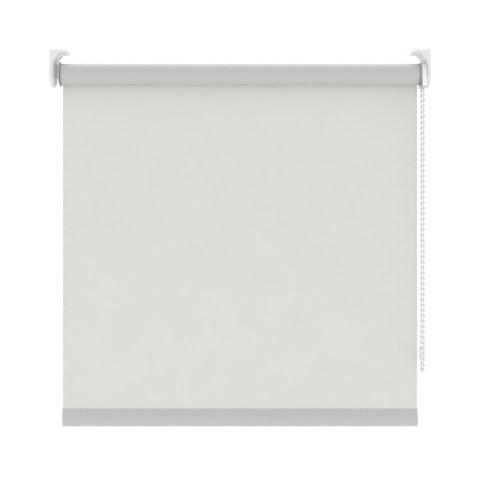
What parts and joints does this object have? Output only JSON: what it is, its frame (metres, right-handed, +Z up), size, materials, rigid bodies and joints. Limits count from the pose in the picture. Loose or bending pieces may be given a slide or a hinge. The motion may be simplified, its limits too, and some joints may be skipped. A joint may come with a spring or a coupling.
{
  "type": "roller blind",
  "caption": "Chain-operated roller blind: a plain cloth sheet wound on a tube between two small end brackets, with a cloth-covered bottom bar and a looped bead chain.",
  "frame": {"origin": "on the wall plane and the ceiling plane, midway between the two brackets", "axes": "+X along the roller towards the chain, +Y back into the wall, +Z up into the ceiling; the front faces -Y"},
  "size_m": [0.4208, 0.0295, 0.421],
  "materials": {
    "white_plastic": "cool white moulded plastic, satin",
    "grey_plastic": "light grey moulded plastic",
    "natural_plastic": "natural acetal, smooth",
    "bead_plastic": "off-white moulded beads on a cord",
    "clear_plastic": "translucent white moulding",
    "aluminium": "mill-finish extrusion",
    "spring_steel": "bright spring wire",
    "sheet_fabric": "plain-woven light-filtering cloth, warm light grey",
    "roll_fabric": "the same cloth, backed, so a little darker"
  },
  "bodies": {
    "brackets": {"left_bracket": "white_plastic", "right_bracket": "white_plastic", "control_core": "natural_plastic", "core_retaining_clip": "spring_steel", "chain_guard": "white_plastic", "fabric_sheet": "sheet_fabric"},
    "roller": {"roller_tube": "aluminium", "fabric_spline": "natural_plastic", "fabric_roll": "roll_fabric", "idle_plug": "grey_plastic", "idle_plug_cap": "natural_plastic", "idle_pin_spring": "spring_steel", "drive_plug": "grey_plastic"},
    "idle_pin": {"idle_pin": "white_plastic"},
    "chain_wheel": {"chain_wheel": "natural_plastic", "clutch_spring_inner": "spring_steel", "clutch_spring_outer": "spring_steel"},
    "chain_loop": {"bead_chain": "bead_plastic", "chain_on_wheel": "bead_plastic"},
    "chain_connector": {"chain_connector": "clear_plastic"},
    "bottom_bar": {"hem_pocket": "roll_fabric", "bottom_bar": "aluminium", "end_cap_left": "white_plastic", "end_cap_right": "white_plastic"}
  },
  "joints": [
    {"name": "roller_spin", "type": "hinge", "parent": "brackets", "child": "roller", "pos_m": [0, -0.01475, -0.0254], "axis": [1, 0, 0], "range_deg": [0, 1620]},
    {"name": "chain_wheel_spin", "type": "hinge", "parent": "brackets", "child": "chain_wheel", "pos_m": [0, -0.01475, -0.0254], "axis": [1, 0, 0], "range_deg": [0, 1620], "deforming": ["chain_on_wheel"]},
    {"name": "bottom_bar_lift", "type": "slide", "parent": "brackets", "child": "bottom_bar", "axis": [0, 0, 1], "range_m": [0, 0.3501], "deforming": ["fabric_sheet"]},
    {"name": "chain_swing", "type": "hinge", "parent": "brackets", "child": "chain_loop", "pos_m": [0.204, -0.01475, -0.0254], "axis": [1, 0, 0], "range_deg": [-8, 0]},
    {"name": "chain_travel", "type": "slide", "parent": "chain_loop", "child": "chain_connector", "axis": [0, 0, 1], "range_m": [0, 0.2161]},
    {"name": "idle_pin_press", "type": "slide", "parent": "roller", "child": "idle_pin", "axis": [1, 0, 0], "range_m": [0, 0.006], "stiffness_N_per_m": 300, "springref_m": -0.008, "deforming": ["idle_pin_spring"]}
  ],
  "couplings": [
    {"joint": "chain_wheel_spin", "follows": "roller_spin", "ratio": 1},
    {"joint": "bottom_bar_lift", "follows": "roller_spin", "m_per_rad": 0.012378},
    {"joint": "chain_travel", "follows": "roller_spin", "m_per_rad": 0.0076394}
  ]
}
